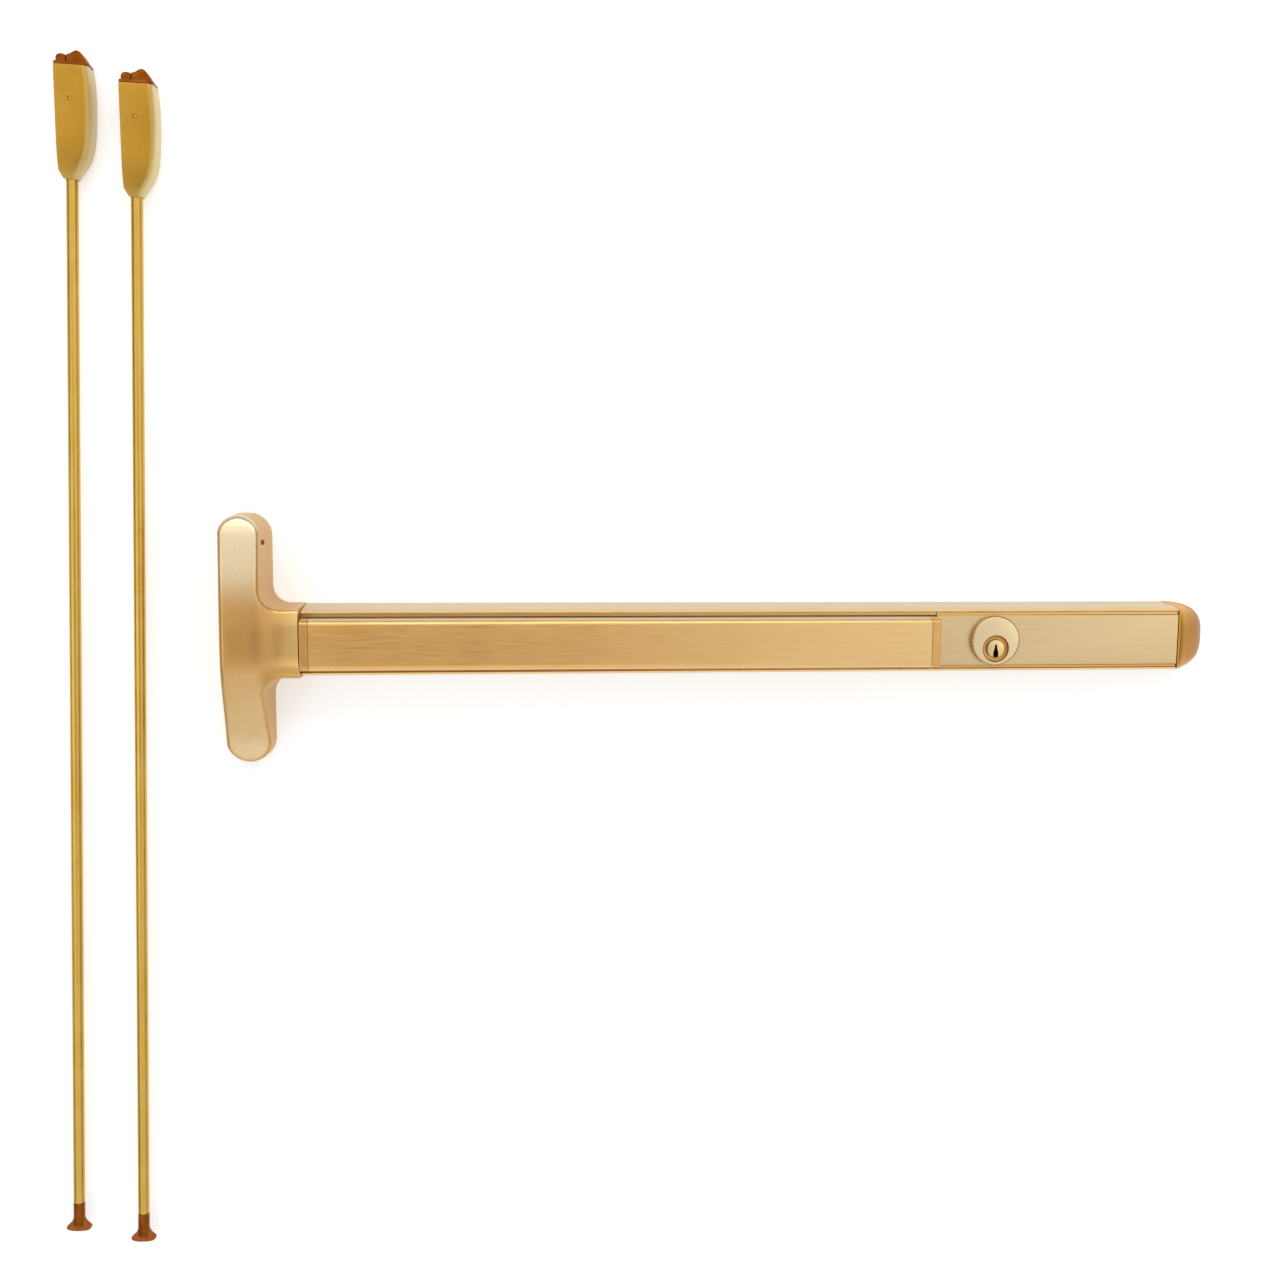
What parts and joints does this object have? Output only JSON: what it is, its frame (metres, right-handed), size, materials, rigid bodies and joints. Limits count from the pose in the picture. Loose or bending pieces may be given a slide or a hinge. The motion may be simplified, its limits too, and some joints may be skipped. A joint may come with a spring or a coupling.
{
  "type": "vertical rod exit device",
  "caption": "Touch bar exit device with a tee-shaped head and a key cylinder, and loose vertical rod and latch sets, in a satin bronze finish.",
  "frame": {"origin": "On the side that faces the door, at the middle of the head's base plate and on the centre line of the bar.", "axes": "+X runs along the bar from the head to the end cap, +Y runs along the head towards the latch ends of the rods, +Z points away from the door side, up from the surface that the kit lies on."},
  "size_m": [1.0188, 1.0076, 0.0619],
  "materials": {
    "head_cover": "satin bronze",
    "rail_channel": "satin bronze",
    "mechanism_cover": "satin bronze",
    "cylinder_body": "satin bronze",
    "key_plug": "satin bronze",
    "push_pad": "satin bronze, brushed along its length",
    "end_cap": "darker bronze",
    "pad_cap_left": "darker bronze",
    "pad_cap_right": "darker bronze",
    "head_screw": "dark aged bronze",
    "latch_cap_a": "dark aged bronze",
    "latch_cap_b": "dark aged bronze",
    "latch_bolt_a": "dark aged bronze",
    "latch_bolt_b": "dark aged bronze",
    "trigger_a": "dark aged bronze",
    "trigger_b": "dark aged bronze",
    "rod_foot_a": "dark aged bronze",
    "rod_foot_b": "dark aged bronze",
    "latch_cover_a": "satin gold bronze",
    "latch_cover_b": "satin gold bronze",
    "rod_a": "satin gold bronze",
    "rod_b": "satin gold bronze",
    "cover_rivet_a": "satin gold bronze",
    "cover_rivet_b": "satin gold bronze",
    "head_base": "plain steel",
    "top_lever": "plain steel",
    "bottom_lever": "plain steel",
    "lever_pin_top": "plain steel",
    "lever_pin_bottom": "plain steel",
    "top_carrier": "plain steel",
    "bottom_carrier": "plain steel",
    "end_bracket": "plain steel",
    "pad_lug_left": "plain steel",
    "pad_lug_right": "plain steel",
    "mechanism_base": "plain steel",
    "crank_pin_left": "plain steel",
    "crank_pin_right": "plain steel",
    "bell_crank_left": "plain steel",
    "bell_crank_right": "plain steel",
    "actuator_link": "plain steel",
    "dogging_bar": "plain steel",
    "cylinder_cam": "plain steel",
    "latch_base_a": "plain steel",
    "latch_base_b": "plain steel",
    "rod_nut_a": "plain steel",
    "rod_nut_b": "plain steel",
    "pad_spring_left": "plain steel",
    "pad_spring_right": "plain steel",
    "bolt_spring_a": "plain steel",
    "bolt_spring_b": "plain steel"
  },
  "bodies": {
    "device": {"head_cover": "head_cover", "rail_channel": "rail_channel", "mechanism_cover": "mechanism_cover", "cylinder_body": "cylinder_body", "end_cap": "end_cap", "head_screw": "head_screw", "latch_cap_a": "latch_cap_a", "latch_cap_b": "latch_cap_b", "latch_cover_a": "latch_cover_a", "latch_cover_b": "latch_cover_b", "cover_rivet_a": "cover_rivet_a", "cover_rivet_b": "cover_rivet_b", "head_base": "head_base", "lever_pin_top": "lever_pin_top", "lever_pin_bottom": "lever_pin_bottom", "end_bracket": "end_bracket", "mechanism_base": "mechanism_base", "crank_pin_left": "crank_pin_left", "crank_pin_right": "crank_pin_right", "latch_base_a": "latch_base_a", "latch_base_b": "latch_base_b", "pad_spring_left": "pad_spring_left", "pad_spring_right": "pad_spring_right", "bolt_spring_a": "bolt_spring_a", "bolt_spring_b": "bolt_spring_b"},
    "pad": {"push_pad": "push_pad", "pad_cap_left": "pad_cap_left", "pad_cap_right": "pad_cap_right", "pad_lug_left": "pad_lug_left", "pad_lug_right": "pad_lug_right"},
    "left_crank": {"bell_crank_left": "bell_crank_left"},
    "right_crank": {"bell_crank_right": "bell_crank_right"},
    "link": {"actuator_link": "actuator_link"},
    "upper_lever": {"top_lever": "top_lever"},
    "lower_lever": {"bottom_lever": "bottom_lever"},
    "upper_carrier": {"top_carrier": "top_carrier"},
    "lower_carrier": {"bottom_carrier": "bottom_carrier"},
    "plug": {"key_plug": "key_plug", "cylinder_cam": "cylinder_cam"},
    "dog_bar": {"dogging_bar": "dogging_bar"},
    "rod_set_a": {"rod_a": "rod_a", "rod_foot_a": "rod_foot_a", "rod_nut_a": "rod_nut_a", "latch_bolt_a": "latch_bolt_a"},
    "rod_set_b": {"rod_b": "rod_b", "rod_foot_b": "rod_foot_b", "rod_nut_b": "rod_nut_b", "latch_bolt_b": "latch_bolt_b"},
    "trip_a": {"trigger_a": "trigger_a"},
    "trip_b": {"trigger_b": "trigger_b"}
  },
  "joints": [
    {"name": "pad_press", "type": "slide", "parent": "device", "child": "pad", "axis": [0, 0, 1], "range_m": [-0.014, 0], "stiffness_N_per_m": 900, "springref_m": 0.02, "deforming": ["pad_spring_left", "pad_spring_right"]},
    {"name": "left_crank_swing", "type": "hinge", "parent": "device", "child": "left_crank", "pos_m": [0.15, 0, 0.0287], "axis": [0, 1, 0], "range_deg": [-32, 0]},
    {"name": "right_crank_swing", "type": "hinge", "parent": "device", "child": "right_crank", "pos_m": [0.48, 0, 0.0287], "axis": [0, 1, 0], "range_deg": [-32, 0]},
    {"name": "link_slide", "type": "slide", "parent": "device", "child": "link", "axis": [1, 0, 0], "range_m": [0, 0.00884]},
    {"name": "upper_lever_swing", "type": "hinge", "parent": "device", "child": "upper_lever", "pos_m": [0.011, 0.02, 0.0083], "axis": [0, 0, 1], "range_deg": [0, 32]},
    {"name": "lower_lever_swing", "type": "hinge", "parent": "device", "child": "lower_lever", "pos_m": [0.011, -0.02, 0.0083], "axis": [0, 0, 1], "range_deg": [-32, 0]},
    {"name": "upper_carrier_slide", "type": "slide", "parent": "device", "child": "upper_carrier", "axis": [0, 1, 0], "range_m": [-0.01104, 0]},
    {"name": "lower_carrier_slide", "type": "slide", "parent": "device", "child": "lower_carrier", "axis": [0, 1, 0], "range_m": [0, 0.01104]},
    {"name": "key_turn", "type": "hinge", "parent": "device", "child": "plug", "pos_m": [0.6431, -0.007, 0.03], "axis": [0, 0, 1], "range_deg": [0, 90.01]},
    {"name": "dog_slide", "type": "slide", "parent": "device", "child": "dog_bar", "axis": [1, 0, 0], "range_m": [-0.009, 0]},
    {"name": "rod_pull_a", "type": "slide", "parent": "device", "child": "rod_set_a", "axis": [0.0312, 0.9995, 0], "range_m": [-0.012, 0], "stiffness_N_per_m": 350, "springref_m": 0.012, "deforming": ["bolt_spring_a"]},
    {"name": "trigger_press_a", "type": "slide", "parent": "device", "child": "trip_a", "axis": [0.0312, 0.9995, 0], "range_m": [-0.005, 0], "stiffness_N_per_m": 250, "springref_m": 0.004},
    {"name": "rod_pull_b", "type": "slide", "parent": "device", "child": "rod_set_b", "axis": [0.0264, 0.9997, 0], "range_m": [-0.012, 0], "stiffness_N_per_m": 350, "springref_m": 0.012, "deforming": ["bolt_spring_b"]},
    {"name": "trigger_press_b", "type": "slide", "parent": "device", "child": "trip_b", "axis": [0.0264, 0.9997, 0], "range_m": [-0.005, 0], "stiffness_N_per_m": 250, "springref_m": 0.004}
  ],
  "couplings": [
    {"joint": "left_crank_swing", "follows": "pad_press", "rad_per_m": 39.893},
    {"joint": "right_crank_swing", "follows": "pad_press", "rad_per_m": 39.893},
    {"joint": "link_slide", "follows": "pad_press", "ratio": -0.63003},
    {"joint": "upper_lever_swing", "follows": "pad_press", "rad_per_m": -39.893},
    {"joint": "lower_lever_swing", "follows": "pad_press", "rad_per_m": 39.893},
    {"joint": "upper_carrier_slide", "follows": "pad_press", "ratio": 0.78753},
    {"joint": "lower_carrier_slide", "follows": "pad_press", "ratio": -0.78753},
    {"joint": "key_turn", "follows": "dog_slide", "rad_per_m": -174.53}
  ]
}
